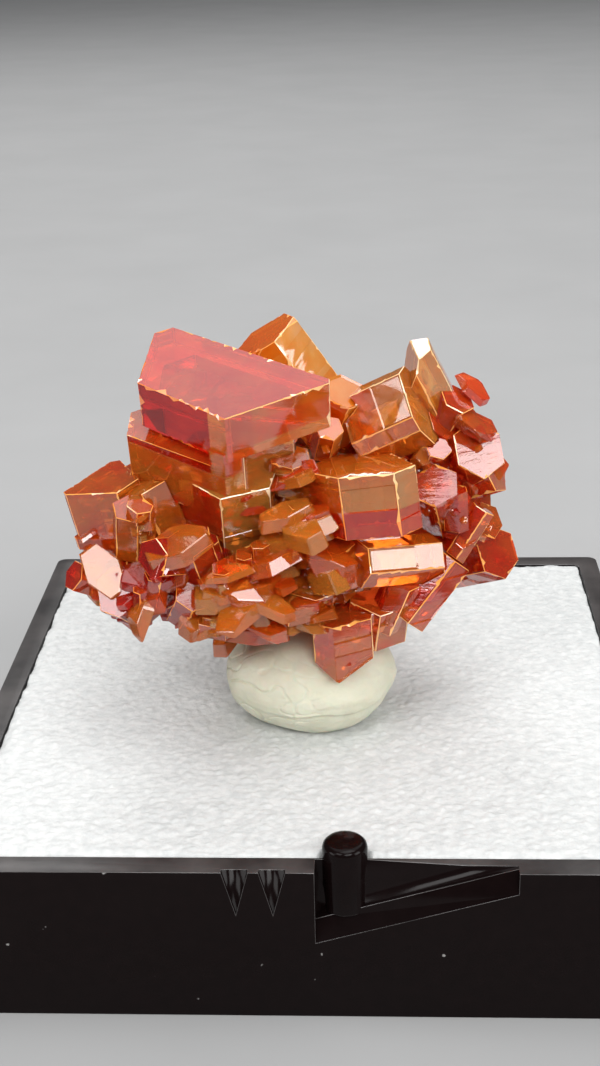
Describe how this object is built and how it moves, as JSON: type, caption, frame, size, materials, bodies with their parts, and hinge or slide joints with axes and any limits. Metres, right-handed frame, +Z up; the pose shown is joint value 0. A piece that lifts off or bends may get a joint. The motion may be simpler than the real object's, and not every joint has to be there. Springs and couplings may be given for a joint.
{
  "type": "vanadinite crystal specimen in a thumbnail display box base",
  "caption": "Cluster of stubby hexagonal vanadinite crystals on matrix, held by mineral tack on the foam of a black display box base.",
  "frame": {"origin": "middle of the flat underside of the box base, at rest on a surface", "axes": "+Z up, -Y towards the front wall with the latch notch, +X to the right seen from the front"},
  "size_m": [0.032, 0.032, 0.026],
  "materials": {
    "box_plastic": "glossy moulded polystyrene, near black with a brown cast",
    "foam": "white expanded foam with a fine pebbly cell texture",
    "tack": "cream mineral tack, matte with finger creases",
    "red_crystal": "deep red clear crystal with glassy to adamantine faces and growth lines",
    "amber_crystal": "amber to orange clear crystal, glassy with a broken sugary end",
    "orange_crystal": "orange-red clear crystal with glassy stepped faces",
    "rock": "rough grey-brown matrix with orange stain"
  },
  "bodies": {
    "root": {"box_base": "box_plastic", "foam_insert": "foam", "main_crystal": "red_crystal", "amber_crystal": "amber_crystal", "pale_crystal": "orange_crystal", "block_crystal": "orange_crystal", "barrel_crystal": "orange_crystal", "left_crystals": "orange_crystal", "lower_left_crystals": "red_crystal", "bottom_crystals": "red_crystal", "right_crystals": "red_crystal", "lower_crystals": "orange_crystal", "back_crystals": "orange_crystal", "matrix": "rock", "mineral_tack": "tack"}
  },
  "joints": []
}
